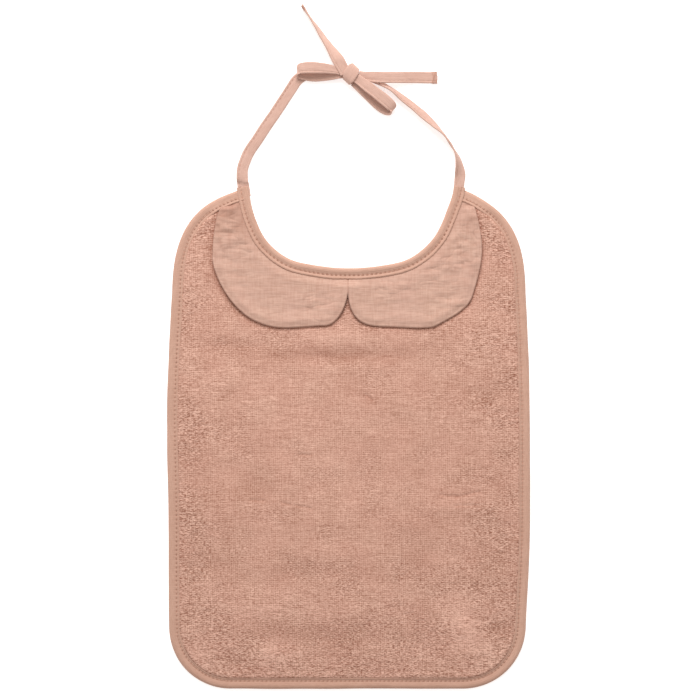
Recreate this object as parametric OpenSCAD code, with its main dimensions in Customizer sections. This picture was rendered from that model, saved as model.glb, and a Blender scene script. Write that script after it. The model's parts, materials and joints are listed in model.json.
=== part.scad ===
// Baby bib lying flat, face up: terry front, bias binding, two-leaf muslin collar
// and two ties knotted in a bow. Millimetres, +Z up, +Y towards the bow, table at z = 0.

/* [Body] */
// Width of the body across its widest place
body_w = 250; // [244:1:258]
// Height of the body from its bottom edge to the top of the neck binding
body_h = 345; // [340:1:360]
// Radius of the two bottom corners
corner_r = 43; // [30:1:50]
// Height of each sloping shoulder
shoulder_h = 70; // [60:1:80]
// Width of each sloping shoulder
shoulder_w = 43.7; // [40:0.1:46]

/* [Neck] */
// Width of the neck opening between the two ties
neck_w = 141; // [136:1:146]
// Depth of the neck opening below the top of the neck binding
neck_d = 56; // [50:1:60]

/* [Binding] */
// Width of the binding round the shoulders, sides and bottom
outer_binding_w = 8; // [6:0.5:9]
// Width of the binding round the neck
neck_binding_w = 7.8; // [6:0.1:8]
// Thickness of the folded binding on each face
binding_t = 0.5; // [0.4:0.1:0.8]

/* [Cloth] */
// Thickness of the terry front
terry_t = 1.6; // [1.2:0.1:2]
// Thickness of the lining
lining_t = 0.4; // [0.3:0.1:0.6]
// Thickness of one muslin layer of the collar
muslin_t = 0.5; // [0.3:0.1:0.6]

/* [Collar] */
// Slope of each collar leaf's fold line, in degrees
collar_slope = 34.6; // [33:0.1:36]
// Gap between the two collar leaves at the front
leaf_gap = 1.2; // [1:0.1:3]

/* [Ties] */
// Width of the tie tape
tie_w = 7.8; // [7:0.1:8.5]
// Thickness of the tie tape
tie_t = 1.2; // [1:0.1:1.4]

/* [Hidden] */
eps = 0.01;

// Levels of the layers, from the table up
lining_z = binding_t;
terry_z = lining_z + lining_t;
collar_z = terry_z + terry_t;
outer_binding_h = collar_z + binding_t;
neck_binding_h = collar_z + 2 * muslin_t + binding_t;
collar_lift = 0.3;

// Places in the outline, on the left half
top_y = body_h / 2;
shoulder_top = top_y - 2.5;
shoulder_x = -neck_w / 2 - 7.2;
side_x = shoulder_x - shoulder_w;
side_y = shoulder_top - shoulder_h;
low_x = 1.6 - body_w / 2;
fold_in = 1;
row_in = 2.3;
thread_w = 0.5;
thread_h = 0.15;

// Fold line of the left collar leaf: 1.8 beyond the neck binding's edge where that bows out most
fold_mid = [-neck_w / 2 + 17.1, top_y - 52.7];
seam_edge_clear = 1.1;
flap_clear = 0.6;

// The neck loop turns up at the shoulders, the bow about the middle of its knot
knot_pos = [2, top_y + 77.5, 4];
knot_turn = -33;

terry_pink = [0.83, 0.64, 0.57];
lining_pink = [0.86, 0.70, 0.64];
binding_pink = [0.81, 0.62, 0.54];
muslin_pink = [0.85, 0.69, 0.61];
tape_pink = [0.86, 0.67, 0.58];
thread_brown = [0.66, 0.46, 0.38];

// Routes of the tie tape. Each point is [x, y above the neck binding's top, z, roll, width share].
left_tie_route = [
  [-74, 2.6, 2.0, 0, 0.9], [-74, 8, 1.6, 10, 0.95], [-72, 16, 1.8, 20, 1], [-68.5, 24, 1.2, 8, 1],
  [-62.5, 33, 0.9, 0, 1], [-57, 41.5, 0.8, 0, 1], [-51, 50, 0.8, 0, 1], [-45.5, 58.5, 0.8, 0, 1],
  [-40, 66.5, 0.8, 0, 1], [-34, 72.5, 0.8, 0, 1], [-26, 75.5, 0.8, 0, 0.95],
  [-17, 76.5, 0.8, 0, 0.85], [-9, 77, 1.2, 0, 0.7], [-2.5, 77.2, 1.8, 0, 0.6]
];
right_tie_route = [
  [74.3, 2.6, 2.0, 0, 0.9], [76, 8.5, 2.2, 15, 1], [75.3, 16, 3.6, 50, 1], [73.5, 22, 4.3, 75, 1],
  [70, 28, 4.5, 88, 1], [65, 35.5, 4.4, 80, 1], [58.5, 42, 3.8, 58, 1], [51.5, 48.5, 3.3, 42, 0.95],
  [44.5, 54.5, 3.4, 45, 0.9], [37.5, 60, 3.2, 50, 0.85], [30, 66, 2.6, 45, 0.75],
  [22.5, 70.5, 2.0, 28, 0.7], [15, 74, 1.5, 10, 0.6], [7, 76, 1.8, 0, 0.6]
];
left_loop_route = [
  [-6.6, 79, 4.8, 0, 0.5], [-11, 80.6, 5.8, 0, 0.7], [-17, 82, 6.6, 0, 0.9], [-24, 82.4, 7.0, 0, 1],
  [-31, 82.4, 6.9, 0, 1], [-35.6, 81.8, 5.9, 0, 1], [-37.4, 80.4, 4.4, 0, 1],
  [-36.2, 78.4, 2.9, 0, 1], [-31.5, 76.6, 2.3, 0, 1], [-24, 75.6, 2.3, 0, 1],
  [-17, 75.6, 2.5, 0, 0.9], [-11, 76, 3.0, 0, 0.7], [-6.8, 76.2, 3.4, 0, 0.5]
];
right_loop_route = [
  [8.6, 71.3, 6.0, 0, 0.5], [12.6, 68, 6.7, 0, 0.75], [17, 64.7, 7.0, 0, 0.95], [21.5, 61.2, 7.0, 0, 1],
  [26, 57.6, 6.5, 0, 1], [29, 54.8, 5.4, 0, 1], [30.2, 53, 4.0, 0, 1],
  [28.6, 52.2, 2.6, 0, 1], [24.8, 53.2, 1.8, 0, 1], [20.5, 56.2, 1.6, 0, 1],
  [16.5, 59.6, 1.6, 0, 0.95], [12.4, 63.4, 2.0, 0, 0.8], [7.8, 67.6, 2.8, 0, 0.5]
];
left_tail_route = [
  [-4.8, 82.9, 6.2, 0, 0.55], [-7.8, 87.4, 5.6, 12, 0.85], [-10.4, 91.4, 4.6, 30, 1],
  [-13.4, 95.6, 4.2, 48, 1], [-16.2, 99.6, 4.2, 58, 1], [-19, 104, 4.2, 62, 1],
  [-22, 108.8, 4.2, 70, 1], [-25.4, 113.8, 4.2, 80, 1], [-28.8, 118.8, 4.2, 88, 1], [-32, 123.6, 4.2, 90, 1]
];
right_tail_route = [
  [10.8, 76, 4.4, 0, 0.55], [16, 75.4, 4.7, 0, 0.8], [23, 75.1, 5.1, 0, 1], [30, 75, 4.5, 0, 1],
  [37, 75, 3.0, 0, 1], [44, 75, 1.5, 0, 1], [51, 74.9, 0.8, 0, 1], [60.5, 74.8, 0.8, 0, 1]
];

// Direction across the tape at the middle of each route
left_tie_across = [0.89, -0.45, 0];
right_tie_across = [0.8, 0.6, 0];
left_loop_across = [0, 1, 0];
right_loop_across = [0.65, 0.76, 0];
left_tail_across = [0.83, 0.55, 0];
right_tail_across = [0, 1, 0];

// Curves
function bezier(p, n) = [
  for (i = [0 : n])
    let (t = i / n, s = 1 - t)
      s * s * s * p[0] + 3 * s * s * t * p[1] + 3 * s * t * t * p[2] + t * t * t * p[3]
];
function arc(c, rx, ry, a0, a1, n) = [
  for (i = [0 : n])
    let (a = a0 + (a1 - a0) * i / n)
      [c.x + rx * cos(a), c.y + ry * sin(a)]
];
function unit(v) = v / norm(v);
function without_first(list) = [for (i = [1 : len(list) - 1]) list[i]];
function reversed(list) = [for (i = [len(list) - 1 : -1 : 0]) list[i]];
function mirrored(list) = [for (p = reversed(list)) [-p.x, p.y]];
function along(c, i) = unit(c[min(i + 1, len(c) - 1)] - c[max(i - 1, 0)]);
function offset_curve(c, d) = [
  for (i = [0 : len(c) - 1])
    let (a = along(c, i))
      c[i] + d * [-a.y, a.x]
];

// The left half of the body's edge runs from the shoulder's top down to the bottom
left_edge = concat(
  bezier([
    [shoulder_x + 4.7, shoulder_top + 1.5], [shoulder_x - 22.9, shoulder_top - 7.5],
    [side_x, side_y + 48], [side_x, side_y]
  ], 14),
  without_first(bezier([
    [side_x, side_y], [side_x - 2.8, side_y - 50],
    [low_x - 2.3, side_y - 100], [low_x, corner_r - top_y]
  ], 10)),
  without_first(arc([low_x + corner_r, corner_r - top_y], corner_r, corner_r, 180, 270, 10))
);
body_edge = concat(left_edge, mirrored(left_edge));

// The neck's left half runs from the shoulder to the middle of the front
left_neck = bezier([
  [-neck_w / 2, top_y], [3 - neck_w / 2, top_y - 24],
  [10 - neck_w / 2, top_y - neck_d], [0, top_y - neck_d]
], 16);
neck_edge = concat(left_neck, without_first(mirrored(left_neck)));

// The left collar leaf's free edge, from the shoulder round to the middle of the front
leaf_edge = concat(
  bezier([
    [-76, top_y - 11.5], [-89, top_y - 10.5], [-93.5, top_y - 22.5], [-93.5, top_y - 40.5]
  ], 8),
  without_first(bezier([
    [-93.5, top_y - 40.5], [-93.5, top_y - 72.5], [-72, top_y - 96], [-45, top_y - 97]
  ], 10)),
  without_first(bezier([
    [-45, top_y - 97], [-10, top_y - 100], [-1.9 - leaf_gap / 2, top_y - 90.5],
    [-leaf_gap / 2, top_y - 68.5]
  ], 10))
);

module slab(points, z0, z1) {
  translate([0, 0, z0]) linear_extrude(z1 - z0) polygon(points);
}

// A strip of constant width that follows a curve, between two distances to its left
module strip(curve, d0, d1, z0, z1) {
  slab(concat(offset_curve(curve, d0), reversed(offset_curve(curve, d1))), z0, z1);
}

// The body's outline, drawn in by a fold's width at the edge and at the neck
module body_slab(d, z0, z1) {
  slab(concat(offset_curve(body_edge, d), reversed(offset_curve(neck_edge, -d))), z0, z1);
}

// The left leaf's outline, from its free edge to the fold of the neck binding
module leaf_slab(z0, z1) {
  neck_side = [
    for (p = reversed(offset_curve(left_neck, -fold_in)))
      if (p.y < top_y - 6 && p.x < -leaf_gap / 2) p
  ];
  slab(concat(leaf_edge, neck_side), z0, z1);
}

// Everything on the outer side of the left leaf's fold line, moved out by a distance
module beyond_fold(d) {
  translate([fold_mid.x, fold_mid.y, 0])
    rotate([0, 0, -collar_slope])
      translate([-100, -100 - d, -5]) cube([200, 100, 20]);
}

module left_seam_edge() {
  difference() {
    leaf_slab(collar_z, collar_z + 2 * muslin_t);
    beyond_fold(-seam_edge_clear);
    strip(body_edge, -1, outer_binding_w + 0.2, collar_z - 1, neck_binding_h + 1);
  }
}

module left_flap(z0, z1) {
  intersection() {
    leaf_slab(z0, z1);
    beyond_fold(flap_clear);
  }
}

// A flat tape swept along a route
tape_section = [
  [-0.5, -0.2], [-0.44, -0.5], [0.44, -0.5], [0.5, -0.2],
  [0.5, 0.2], [0.44, 0.5], [-0.44, 0.5], [-0.5, 0.2]
];
function place(p) = [p.x, p.y + top_y, p.z];
function run(route, i) =
  unit(place(route[min(i + 1, len(route) - 1)]) - place(route[max(i - 1, 0)]));
function across(route, i, side) =
  let (t = run(route, i), flat = unit(side - (side * t) * t), roll = route[i][3])
    flat * cos(roll) + cross(t, flat) * sin(roll);
function ring(route, i, side, section) =
  let (t = run(route, i), w = across(route, i, side), n = cross(w, t))
    [for (q = section) place(route[i]) + w * q.x * tie_w * route[i][4] + n * q.y * tie_t];

module tape(route, side, section) {
  k = len(section);
  last = len(route) - 1;
  points = [for (i = [0 : last]) each ring(route, i, side, section)];
  start_cap = [for (j = [1 : k - 2]) [0, j + 1, j]];
  end_cap = [for (j = [1 : k - 2]) [last * k, last * k + j, last * k + j + 1]];
  walls = [
    for (i = [0 : last - 1], j = [0 : k - 1])
      let (a = i * k + j, b = i * k + (j + 1) % k)
        each [[a, b, b + k], [a, b + k, a + k]]
  ];
  polyhedron(points, concat(start_cap, walls, end_cap), convexity = 8);
}

module front_terry_panel() {
  color(terry_pink) body_slab(fold_in, terry_z, collar_z);
}

module back_lining_panel() {
  color(lining_pink) body_slab(fold_in, lining_z, terry_z);
}

module outer_binding() {
  color(binding_pink) difference() {
    strip(body_edge, 0, outer_binding_w, 0, outer_binding_h);
    body_slab(fold_in, lining_z, collar_z);
    strip(neck_edge, 1, -neck_binding_w, -1, neck_binding_h + 1);
    stitch_row(body_edge, outer_binding_w, -1, thread_h);
  }
}

module neck_binding() {
  color(binding_pink) difference() {
    strip(neck_edge, 0, -neck_binding_w, 0, neck_binding_h);
    body_slab(fold_in, lining_z, collar_z);
    strip(neck_edge, -fold_in, -neck_binding_w - 1, collar_z - eps, collar_z + 2 * muslin_t);
    stitch_row(neck_edge, -neck_binding_w, -1, thread_h);
  }
}

// A row of stitches just inside the inner edge of a binding
module stitch_row(curve, binding_w, z0, z1) {
  inner = sign(binding_w) * (abs(binding_w) - row_in);
  strip(curve, inner, inner - sign(binding_w) * thread_w, z0, z1);
}

module outer_stitching_front() {
  color(thread_brown) difference() {
    stitch_row(body_edge, outer_binding_w, outer_binding_h, outer_binding_h + thread_h);
    strip(neck_edge, 1, -neck_binding_w - 0.2, 0, neck_binding_h + 1);
  }
}

module outer_stitching_back() {
  color(thread_brown) difference() {
    stitch_row(body_edge, outer_binding_w, 0, thread_h);
    strip(neck_edge, 1, -neck_binding_w - 0.2, -1, neck_binding_h + 1);
  }
}

module neck_stitching_front() {
  color(thread_brown) stitch_row(neck_edge, -neck_binding_w, neck_binding_h, neck_binding_h + thread_h);
}

module neck_stitching_back() {
  color(thread_brown) stitch_row(neck_edge, -neck_binding_w, 0, thread_h);
}

module left_collar_seam_edge() {
  color(muslin_pink) left_seam_edge();
}

module right_collar_seam_edge() {
  color(muslin_pink) mirror([1, 0, 0]) left_seam_edge();
}

module left_collar_under_layer() {
  color(muslin_pink) left_flap(collar_z + collar_lift, collar_z + collar_lift + muslin_t);
}

module left_collar_upper_layer() {
  color(muslin_pink)
    left_flap(collar_z + collar_lift + muslin_t, collar_z + collar_lift + 2 * muslin_t);
}

module right_collar_under_layer() {
  mirror([1, 0, 0]) left_collar_under_layer();
}

module right_collar_upper_layer() {
  mirror([1, 0, 0]) left_collar_upper_layer();
}

module left_tie() {
  color(tape_pink) tape(left_tie_route, left_tie_across, tape_section);
}

module right_tie() {
  color(tape_pink) tape(right_tie_route, right_tie_across, tape_section);
}

// The thread that closes the tape lies along its outer edge
stitch_section = [[-0.42, 0.46], [-0.36, 0.46], [-0.36, 0.62], [-0.42, 0.62]];
right_stitch_section = [for (p = reversed(stitch_section)) [-p.x, p.y]];

module left_tie_stitching() {
  color(thread_brown) tape(left_tie_route, left_tie_across, stitch_section);
}

module right_tie_stitching() {
  color(thread_brown) tape(right_tie_route, right_tie_across, right_stitch_section);
}

// The wrap of the knot: a rounded block, narrower at its top and bottom
module rounded_block(l, w, r, z0, z1) {
  corner = [l / 2 - r, w / 2 - r];
  points = concat(
    arc([corner.x, corner.y], r, r, 0, 90, 4), arc([-corner.x, corner.y], r, r, 90, 180, 4),
    arc([-corner.x, -corner.y], r, r, 180, 270, 4), arc([corner.x, -corner.y], r, r, 270, 360, 4)
  );
  slab(points, z0, z1);
}

module bow_knot() {
  color(tape_pink) translate([knot_pos.x, knot_pos.y, 0]) rotate([0, 0, knot_turn]) {
    rounded_block(8.4, 10.8, 2, 0.2, 7.8);
    rounded_block(11, 13.4, 3.2, 1.4, 6.6);
  }
}

module bow_loop_left() {
  color(tape_pink) tape(left_loop_route, left_loop_across, tape_section);
}

module bow_loop_right() {
  color(tape_pink) tape(right_loop_route, right_loop_across, tape_section);
}

module bow_tail_left() {
  color(tape_pink) tape(left_tail_route, left_tail_across, tape_section);
}

module bow_tail_right() {
  color(tape_pink) tape(right_tail_route, right_tail_across, tape_section);
}

// The oversewn end of a tail: a thin sleeve over its last few millimetres
function end_route(route, l) =
  let (last = len(route) - 1, e = route[last], d = unit(place(e) - place(route[last - 1])))
    [[e.x - l * d.x, e.y - l * d.y, e.z - l * d.z, e[3], e[4]],
     [e.x + 0.4 * d.x, e.y + 0.4 * d.y, e.z + 0.4 * d.z, e[3], e[4]]];
hem_section = [for (p = tape_section) [p.x * 1.06, p.y * 1.3]];

module left_tail_hem() {
  color(thread_brown) tape(end_route(left_tail_route, 3), left_tail_across, hem_section);
}

module right_tail_hem() {
  color(thread_brown) tape(end_route(right_tail_route, 3), right_tail_across, hem_section);
}

front_terry_panel();
back_lining_panel();
outer_binding();
neck_binding();
outer_stitching_front();
outer_stitching_back();
neck_stitching_front();
neck_stitching_back();
left_collar_seam_edge();
right_collar_seam_edge();
left_collar_upper_layer();
left_collar_under_layer();
right_collar_upper_layer();
right_collar_under_layer();
left_tie();
right_tie();
left_tie_stitching();
right_tie_stitching();
bow_knot();
bow_loop_left();
bow_loop_right();
bow_tail_left();
bow_tail_right();
left_tail_hem();
right_tail_hem();
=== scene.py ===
"""Terry baby bib with bias binding, a two-leaf muslin collar and tape ties in a bow.

The bib lies face up on the floor, with Y towards the neck. Lengths are in metres unless a table says
millimetres.
"""

import json
import math

import bpy
import numpy as np
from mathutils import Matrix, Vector


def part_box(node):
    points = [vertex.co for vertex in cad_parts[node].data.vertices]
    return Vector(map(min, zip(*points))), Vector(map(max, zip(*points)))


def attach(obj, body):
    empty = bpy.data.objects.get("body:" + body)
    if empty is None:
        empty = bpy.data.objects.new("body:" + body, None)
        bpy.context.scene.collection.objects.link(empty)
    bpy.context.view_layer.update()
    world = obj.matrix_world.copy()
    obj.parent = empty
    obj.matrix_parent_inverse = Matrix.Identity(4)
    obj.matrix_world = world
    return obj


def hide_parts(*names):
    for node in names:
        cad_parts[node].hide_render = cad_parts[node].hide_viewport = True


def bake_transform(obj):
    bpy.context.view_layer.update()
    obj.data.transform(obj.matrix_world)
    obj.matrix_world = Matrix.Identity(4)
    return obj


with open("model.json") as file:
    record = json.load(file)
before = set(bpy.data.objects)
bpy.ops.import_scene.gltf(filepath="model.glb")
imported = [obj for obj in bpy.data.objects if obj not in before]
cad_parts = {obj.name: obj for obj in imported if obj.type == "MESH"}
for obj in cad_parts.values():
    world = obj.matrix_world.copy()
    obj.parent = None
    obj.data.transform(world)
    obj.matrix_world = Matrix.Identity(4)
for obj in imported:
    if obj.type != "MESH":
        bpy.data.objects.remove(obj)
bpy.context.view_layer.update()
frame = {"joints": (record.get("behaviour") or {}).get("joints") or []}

# ---- places taken from the frame

neck_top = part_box("neck_binding")[1].y
binding_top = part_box("outer_binding")[1].z
neck_binding_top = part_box("neck_binding")[1].z
terry_bottom, terry_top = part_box("front_terry_panel")[0].z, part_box("front_terry_panel")[1].z
joint = {j["name"]: j for j in frame["joints"]}
knot_centre = np.array(joint["left_loop_lift"]["pos_m"])

# ---- sizes

MM = 0.001
NECK_HALF = 0.0705
NECK_DEPTH = 0.056
SHOULDER = (0.0437, 0.07)
SHOULDER_X = -NECK_HALF - 0.0072
SHOULDER_DROP = 0.0025
CORNER = 0.043
OUTER_WIDTH, OUTER_ROW = 0.0079, 0.0055
NECK_WIDTH, NECK_ROW = 0.0078, 0.0052
TAPE_WIDTH = 0.0078
TAPE_THICKNESS = 0.0012
TAPE_ROW = -0.29
GAUZE = 0.0005
TONE_AND_SHADE_GAIN = 1.3
STITCH_PITCH = 0.003
ROW_DEPTH = 0.0009  # how deep a seam row lies in its binding
BACK_ROW = 0.00022  # and how high it lies on the back
LEAF_RISE = 0.0009  # how far the binding is raised where it crosses a collar leaf
PANEL_INSET = 0.0018
PRESSED_TOP = 0.0019  # the terry's top under the collar
LEAF_BASE, LEAF_CORNER = 0.0027, 0.0024  # the collar's top at the neck seam and at its corner by the shoulder
NECK_SHADE = {-1: 0.37, 1: 0.14}
RING_SPACING = 0.0006
TERRY_PITCH = 0.00072
FLOOR = -0.0002

# ---- the tapes' routes
# Each has the direction across its tape at the start, and points of its middle line: x, y above the neck
# binding's top and z in millimetres, roll in degrees and share of the full width.

ROUTES = {
    "left_tie": (
        (0.89, -0.45, 0),
        [
            (-74, 0.8, 1.8, 0, 1.04), (-74.1, 5, 2.9, 6, 1.01), (-73, 12, 2.6, 14, 1),
            (-71.2, 18, 1.9, 14, 1), (-68.5, 24, 1.2, 8, 1), (-62.5, 33, 0.9, 0, 1),
            (-57, 41.5, 0.8, 0, 1), (-51, 50, 0.8, 0, 1), (-45.5, 58.5, 0.8, 0, 1), (-40, 66.8, 0.8, 0, 1),
            (-35, 73.8, 0.8, 0, 1), (-27, 77.6, 0.8, 0, 0.95), (-17, 78, 0.8, 0, 0.85),
            (-9, 77, 1.2, 0, 0.7), (-2.5, 77.2, 1.8, 0, 0.6),
        ],
    ),
    "right_tie": (
        (0.8, 0.6, 0),
        [
            (74.3, 2.6, 2, 0, 0.9), (76, 8.5, 2.2, 15, 1), (75.3, 16, 3.6, 50, 1), (73.5, 22, 4.3, 75, 1),
            (70, 28, 4.5, 88, 1), (65, 35.5, 4.4, 80, 1), (58.5, 42, 3.8, 58, 1),
            (51.5, 48.5, 3.3, 42, 0.95), (44.5, 54.5, 3.4, 45, 0.9), (37.5, 60, 3.2, 46, 0.88),
            (30, 66, 3, 62, 0.78), (22.5, 70.5, 2.2, 48, 0.7), (15, 74, 1.5, 10, 0.6),
            (7, 76, 1.8, 0, 0.6),
        ],
    ),
    "bow_loop_left": (
        (0, 1, 0),
        [
            (-6.6, 78.6, 4.8, 0, 0.6), (-11, 79.6, 5.8, 0, 0.75), (-17, 80.4, 6.6, 0, 0.9),
            (-23.5, 80.8, 7, 0, 1), (-29, 80.8, 6.9, 0, 1), (-33.2, 80.4, 5.9, 0, 0.94),
            (-35, 79.2, 4.4, 0, 0.86), (-33.6, 77.6, 2.9, 0, 0.94), (-29, 76.4, 2.3, 0, 1),
            (-23.5, 75.8, 2.3, 0, 1), (-17, 75.8, 2.5, 0, 0.9), (-11, 76, 3, 0, 0.75),
            (-6.8, 76.2, 3.4, 0, 0.6),
        ],
    ),
    "bow_loop_right": (
        (0.65, 0.76, 0),
        [
            (8, 71.6, 5.8, 0, 0.85), (12.4, 68.2, 6.6, 0, 0.95), (17, 64.7, 7, 0, 0.95),
            (21.5, 61.2, 7, 0, 1), (26, 57.6, 6.5, 0, 1), (29, 54.8, 5.4, 0, 0.94),
            (30.3, 53.2, 4, 0, 0.84), (28.6, 52.2, 2.6, 0, 0.94), (24.8, 53.2, 1.8, 0, 1),
            (20.5, 56.2, 1.6, 0, 1), (16.2, 60, 1.6, 0, 0.95), (11.4, 64.4, 2, 0, 0.92),
            (6.6, 69, 2.8, 0, 0.9),
        ],
    ),
    "bow_tail_left": (
        (0.83, 0.55, 0),
        [
            (-4.2, 80.6, 5.8, 0, 1), (-7.4, 86.2, 6, 4, 1.08), (-10.2, 90.8, 5, 26, 1),
            (-13.4, 95.6, 4.2, 48, 1), (-16.2, 99.6, 4.2, 58, 1), (-19, 104, 4.2, 62, 1),
            (-22, 108.8, 4.2, 70, 1), (-25.4, 113.8, 4.2, 80, 1), (-28.8, 118.8, 4.2, 88, 1),
            (-32, 123.6, 4.2, 90, 1),
        ],
    ),
    "bow_tail_right": (
        (0, 1, 0),
        [
            (10.8, 75.4, 4.4, 0, 0.8), (16, 74.8, 4.7, 0, 0.95), (23, 74.5, 5.1, 0, 1),
            (30, 74.6, 4.5, 0, 1), (37, 74.8, 3, 0, 1), (44, 75, 1.5, 0, 1), (51, 74.9, 0.8, 0, 1),
            (60.5, 74.8, 0.8, 0, 1),
        ],
    ),
}

# ---- curves and fields


def unit(v):
    """Vectors of length 1."""
    v = np.asarray(v, float)
    return v / np.linalg.norm(v, axis=-1, keepdims=True)


def bezier(points, n=60):
    """A cubic curve through the first and last of four points."""
    p = np.asarray(points, float)
    t = np.linspace(0, 1, n)[:, None]
    s = 1 - t
    return s**3 * p[0] + 3 * s * s * t * p[1] + 3 * s * t * t * p[2] + t**3 * p[3]


def arc(centre, rx, ry, a0, a1, n=60):
    """Part of an ellipse, from angle a0 to a1 in degrees."""
    a = np.radians(np.linspace(a0, a1, n))
    return np.stack([centre[0] + rx * np.cos(a), centre[1] + ry * np.sin(a)], 1)


def mirrored(curve):
    return curve[::-1] * np.array([-1, 1])


def arc_length(curve):
    return np.concatenate([[0], np.cumsum(np.linalg.norm(np.diff(curve, axis=0), axis=1))])


def sampled(rows, s, at):
    """Rows of numbers given at lengths s, read off at other lengths."""
    return np.stack([np.interp(at, s, column) for column in rows.T], 1)


def resample(curve, spacing=None, count=None):
    """The same curve, with points at equal distances."""
    s = arc_length(curve)
    n = count or int(round(s[-1] / spacing)) + 1
    return sampled(curve, s, np.linspace(0, s[-1], n))


def smooth_through(points, steps=10):
    """A Catmull-Rom curve through rows of numbers."""
    p = np.asarray(points, float)
    p = np.vstack([2 * p[0] - p[1], p, 2 * p[-1] - p[-2]])
    t = np.linspace(0, 1, steps, endpoint=False)[:, None]
    out = []
    for a, b, c, d in zip(p[:-3], p[1:-2], p[2:-1], p[3:]):
        out.append(0.5 * (2 * b + (c - a) * t + (2 * a - 5 * b + 4 * c - d) * t**2
                          + (3 * b - a - 3 * c + d) * t**3))
    return np.vstack(out + [p[-2:-1]])


def noise(x, y, size_x, size_y, seed):
    """A smooth random field from -1 to 1, with lumps of about size_x by size_y."""
    table = np.random.default_rng(seed).uniform(-1, 1, (256, 256))
    fx, fy = x / size_x + 100, y / size_y + 100
    ix, iy = np.floor(fx).astype(int), np.floor(fy).astype(int)
    tx, ty = fx - ix, fy - iy
    tx, ty = tx * tx * (3 - 2 * tx), ty * ty * (3 - 2 * ty)
    at = lambda i, j: table[(ix + i) & 255, (iy + j) & 255]
    low = at(0, 0) * (1 - tx) + at(1, 0) * tx
    high = at(0, 1) * (1 - tx) + at(1, 1) * tx
    return low * (1 - ty) + high * ty


def ramp(x, low, high):
    """0 below low, 1 above high and smooth between."""
    t = np.clip((x - low) / (high - low), 0, 1)
    return t * t * (3 - 2 * t)


def distance_to(curve, points):
    """Distance from each point to the nearest place on a polyline, and that place."""
    a, b = curve[:-1], curve[1:]
    d = b - a
    best = np.full(len(points), np.inf)
    spot = np.zeros((len(points), 2))
    for i in range(len(a)):
        t = np.clip(((points - a[i]) @ d[i]) / max(d[i] @ d[i], 1e-18), 0, 1)
        q = a[i] + t[:, None] * d[i]
        r = np.hypot(*(points - q).T)
        near = r < best
        best[near] = r[near]
        spot[near] = q[near]
    return best, spot


# ---- the bib's outlines

side_x, side_y = SHOULDER_X - SHOULDER[0], neck_top - SHOULDER_DROP - SHOULDER[1]
low_x = -0.1234
left_edge = np.vstack([
    bezier([
        (SHOULDER_X + 0.0047, neck_top - 0.001), (SHOULDER_X - 0.0229, neck_top - 0.01),
        (side_x, side_y + 0.048), (side_x, side_y),
    ]),
    bezier([
        (side_x, side_y), (side_x - 0.0028, side_y - 0.05),
        (low_x - 0.0023, side_y - 0.1), (low_x, CORNER - neck_top),
    ])[1:],
    arc((low_x + CORNER, CORNER - neck_top), CORNER, CORNER, 180, 270)[1:],
])
left_neck = bezier([
    (-NECK_HALF, neck_top), (-NECK_HALF + 0.003, neck_top - 0.024),
    (-NECK_HALF + 0.01, neck_top - NECK_DEPTH), (0, neck_top - NECK_DEPTH),
])


def bump(x, middle, reach):
    return np.exp(-(((x - middle) / reach) ** 2))


def settle(points):
    """The small shifts with which the cloth lies, added to the symmetrical plan."""
    p = np.array(points, float)
    x, y = p[..., 0].copy(), p[..., 1].copy()
    right = ramp(x, -0.02, 0.02)
    dx = -(0.0012 + 0.008 * x) * ramp(-y, 0.06, 0.15)
    dx += ramp(-x, 0.06, 0.11) * (0.0005 * bump(y, -0.05, 0.03) - 0.0008 * bump(y, 0.025, 0.04))
    near = (1 - ramp(np.abs(x), 0.08, 0.1)) * (1 - ramp(y, 0.173, 0.184))
    dx += near * (1 - right) * 0.0014 * ramp(y, 0.13, 0.15)
    dx += near * right * (0.0015 * ramp(y, 0.155, 0.17) - 0.0006 * bump(y, 0.148, 0.01))
    p[..., 0] += dx
    p[..., 1] -= 0.0009 * bump(np.abs(x), 0.041, 0.012) * bump(y, 0.121, 0.012)
    return p


body_edge = resample(settle(np.vstack([left_edge, mirrored(left_edge)])), spacing=0.0005)
neck_edge = resample(settle(np.vstack([left_neck, mirrored(left_neck)[1:]])), spacing=0.0005)

# The free edge of each collar leaf from the shoulder round to the front, drawn as for the left leaf, in
# millimetres: points on the edge, and two between each that steer the curve
LEAF_EDGES = {
    -1: [
        (-74, 168.5),
        (-80, 166.2), (-87.3, 161.5), (-89.8, 152.5), (-91.5, 147), (-93.4, 134), (-93.2, 122),
        (-91.8, 111), (-83, 93), (-69, 83.2), (-61, 78.2), (-53, 75.8), (-43, 75.8),
        (-34, 75.8), (-26, 77.2), (-16, 77.3), (-9, 78), (-2.6, 88), (-1, 100),
        (-0.8, 103), (-0.8, 108), (-0.8, 112.5),
    ],
    1: [
        (-75, 168.5),
        (-81, 166.5), (-86.2, 160.5), (-87.2, 153), (-89, 146), (-90.8, 138), (-90.8, 128),
        (-90, 116), (-87.5, 108), (-84.5, 98), (-81.5, 88), (-70, 83), (-59, 77),
        (-55, 74.8), (-40, 76), (-24, 76.6), (-12, 77), (-6, 79), (-2, 88),
        (-0.6, 91.5), (0.3, 95), (0.3, 101), (0.3, 105), (0.2, 108), (0.2, 112.5),
    ],
}


def leaf_edge(side, n):
    """A leaf's free edge, with n points on each of its curves."""
    points = np.array(LEAF_EDGES[side]) * MM
    return np.vstack([bezier(points[i:i + 4], n) for i in range(0, len(points) - 1, 3)])


def inward(curve):
    """Unit vectors to the left of a plane curve."""
    t = unit(np.gradient(curve, axis=0))
    return np.stack([-t[:, 1], t[:, 0]], 1)


# ---- meshes


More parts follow.
